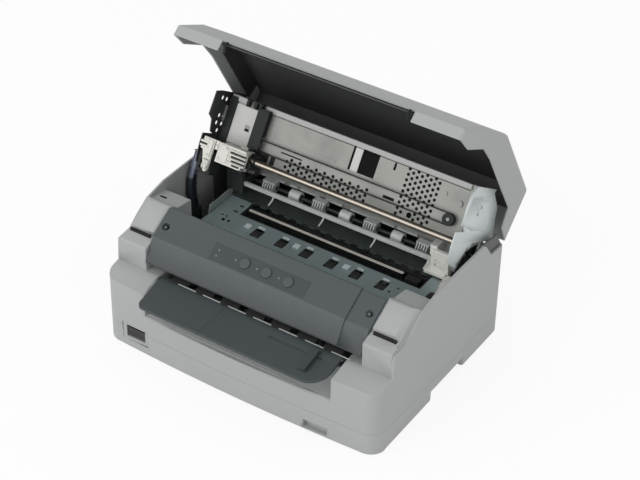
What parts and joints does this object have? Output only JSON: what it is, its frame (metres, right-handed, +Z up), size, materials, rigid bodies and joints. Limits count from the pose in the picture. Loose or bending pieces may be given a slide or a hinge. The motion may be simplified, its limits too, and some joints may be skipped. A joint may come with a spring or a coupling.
{
  "type": "dot matrix printer",
  "caption": "Flatbed dot matrix printer with an opened cover, a raised print unit with its carriage, feed rollers, a paper tray and a control panel",
  "frame": {"origin": "on the desk, under the middle of the whole object's box with the cover open", "axes": "X to the right along the front, Y to the rear, Z up"},
  "size_m": [0.384, 0.347, 0.3572],
  "materials": {
    "case_grey": "fine textured grey plastic",
    "panel_grey": "fine textured slate grey plastic",
    "inlay_dark": "smooth dark film",
    "button_grey": "smooth grey plastic",
    "lamp": "clear pale lens",
    "tray_grey": "fine textured dark plastic",
    "black_plastic": "black plastic",
    "foam": "black foam and felt",
    "rubber": "black rubber",
    "sheet_steel": "zinc plated sheet steel",
    "table_paint": "blue-grey painted sheet",
    "dark_paint": "dark painted sheet",
    "plate_dark": "dark grey painted sheet",
    "back_paint": "light grey sheet",
    "white_plastic": "white engineering plastic",
    "clear_plastic": "milky plastic",
    "ground_steel": "ground and oiled steel",
    "brass": "machined brass",
    "motor_metal": "dark lacquered metal",
    "board": "green laminate",
    "lever_blue": "dark slate blue plastic"
  },
  "bodies": {
    "case": {"lower_case": "case_grey", "upper_case": "case_grey", "rubber_feet": "rubber", "seal_strips": "foam", "control_panel": "panel_grey", "panel_inlay": "inlay_dark", "status_lamps": "lamp", "panel_screws": "sheet_steel", "front_tray": "tray_grey", "slot_lip": "sheet_steel", "paper_table": "table_paint", "table_tabs": "white_plastic", "rear_table": "dark_paint", "platen_channel": "black_plastic", "platen_bar": "sheet_steel", "left_frame": "sheet_steel", "right_frame": "sheet_steel", "base_plate": "sheet_steel", "feed_motor": "motor_metal", "guide_bar": "clear_plastic", "guide_blocks": "white_plastic", "pressure_beam": "back_paint", "guide_combs": "clear_plastic", "lever_stand": "sheet_steel", "main_board": "board", "power_supply": "sheet_steel", "power_inlet": "black_plastic", "data_sockets": "sheet_steel", "switch_frame": "case_grey", "hinge_brackets": "sheet_steel", "hinge_pins": "sheet_steel"},
    "cover": {"cover_shell": "case_grey", "cover_liner": "black_plastic", "felt_strip": "foam", "cover_hooks": "sheet_steel"},
    "print_unit": {"unit_left_plate": "plate_dark", "unit_right_plate": "sheet_steel", "unit_back_plate": "back_paint", "unit_screens": "white_plastic", "screen_post": "dark_paint", "unit_cross_bar": "sheet_steel", "carriage_shaft": "ground_steel", "ribbon_bracket": "white_plastic", "carriage_motor": "motor_metal", "drive_belt": "rubber"},
    "carriage": {"carriage": "white_plastic", "print_head": "black_plastic"},
    "motor_pulley": {"motor_pulley": "brass"},
    "idler_pulley": {"idler_pulley": "brass"},
    "front_feed": {"front_feed_roller": "rubber"},
    "rear_feed": {"rear_feed_roller": "rubber"},
    "idler": {"idler_gear": "white_plastic"},
    "pinion": {"motor_pinion": "brass"},
    "pressure_rollers": {"pressure_rollers": "white_plastic"},
    "release_lever": {"release_lever": "lever_blue"},
    "rocker": {"power_rocker": "black_plastic"},
    "button_left": {"push_button_left": "button_grey"},
    "button_middle": {"push_button_middle": "button_grey"},
    "button_right": {"push_button_right": "button_grey"},
    "edge_guide": {"edge_guide": "black_plastic"}
  },
  "joints": [
    {"name": "cover_turn", "type": "hinge", "parent": "case", "child": "cover", "pos_m": [0, 0.12052, 0.133], "axis": [1, 0, 0], "range_deg": [0, 60.4]},
    {"name": "unit_turn", "type": "hinge", "parent": "case", "child": "print_unit", "pos_m": [0, 0.12052, 0.133], "axis": [1, 0, 0], "range_deg": [0, 33.1]},
    {"name": "carriage_slide", "type": "slide", "parent": "print_unit", "child": "carriage", "axis": [1, 0, 0], "range_m": [0, 0.24]},
    {"name": "motor_pulley_turn", "type": "hinge", "parent": "print_unit", "child": "motor_pulley", "pos_m": [-0.117, 0.0545, 0.19292], "axis": [0, 0.8387, -0.5446], "range_deg": [-2400, 60]},
    {"name": "idler_pulley_turn", "type": "hinge", "parent": "print_unit", "child": "idler_pulley", "pos_m": [0.1516, 0.0545, 0.19292], "axis": [0, 0.8387, -0.5446], "range_deg": [-2400, 60]},
    {"name": "rear_feed_turn", "type": "hinge", "parent": "case", "child": "rear_feed", "pos_m": [0, 0.07552, 0.105], "axis": [1, 0, 0], "continuous": true},
    {"name": "front_feed_turn", "type": "hinge", "parent": "case", "child": "front_feed", "pos_m": [0, -0.00048, 0.1016], "axis": [1, 0, 0], "continuous": true},
    {"name": "idler_turn", "type": "hinge", "parent": "case", "child": "idler", "pos_m": [0.16, 0.03752, 0.1033], "axis": [1, 0, 0], "continuous": true},
    {"name": "pinion_turn", "type": "hinge", "parent": "case", "child": "pinion", "pos_m": [0.16, -0.01837, 0.07871], "axis": [1, 0, 0], "continuous": true},
    {"name": "pressure_rollers_turn", "type": "hinge", "parent": "case", "child": "pressure_rollers", "pos_m": [0, 0.07552, 0.1215], "axis": [1, 0, 0], "continuous": true},
    {"name": "release_lever_turn", "type": "hinge", "parent": "case", "child": "release_lever", "pos_m": [-0.183, 0.01652, 0.086], "axis": [1, 0, 0], "range_deg": [-10, 25]},
    {"name": "rocker_turn", "type": "hinge", "parent": "case", "child": "rocker", "pos_m": [-0.1465, -0.14499, 0.024], "axis": [1, 0, 0], "range_deg": [-12, 0]},
    {"name": "button_left_press", "type": "slide", "parent": "case", "child": "button_left", "axis": [0, 0.5214, -0.8533], "range_m": [0, 0.0012], "stiffness_N_per_m": 900, "springref_m": -0.0006},
    {"name": "button_middle_press", "type": "slide", "parent": "case", "child": "button_middle", "axis": [0, 0.5214, -0.8533], "range_m": [0, 0.0012], "stiffness_N_per_m": 900, "springref_m": -0.0006},
    {"name": "button_right_press", "type": "slide", "parent": "case", "child": "button_right", "axis": [0, 0.5214, -0.8533], "range_m": [0, 0.0012], "stiffness_N_per_m": 900, "springref_m": -0.0006},
    {"name": "edge_guide_slide", "type": "slide", "parent": "case", "child": "edge_guide", "axis": [1, 0, 0], "range_m": [-0.05, 0.006]}
  ],
  "couplings": [
    {"joint": "unit_turn", "follows": "cover_turn", "ratio": 0.54636},
    {"joint": "motor_pulley_turn", "follows": "carriage_slide", "rad_per_m": -151.52},
    {"joint": "idler_pulley_turn", "follows": "carriage_slide", "rad_per_m": -151.52},
    {"joint": "front_feed_turn", "follows": "rear_feed_turn", "ratio": 1},
    {"joint": "idler_turn", "follows": "rear_feed_turn", "ratio": -1.1111},
    {"joint": "pinion_turn", "follows": "rear_feed_turn", "ratio": -2.2222},
    {"joint": "pressure_rollers_turn", "follows": "rear_feed_turn", "ratio": -1.25}
  ]
}
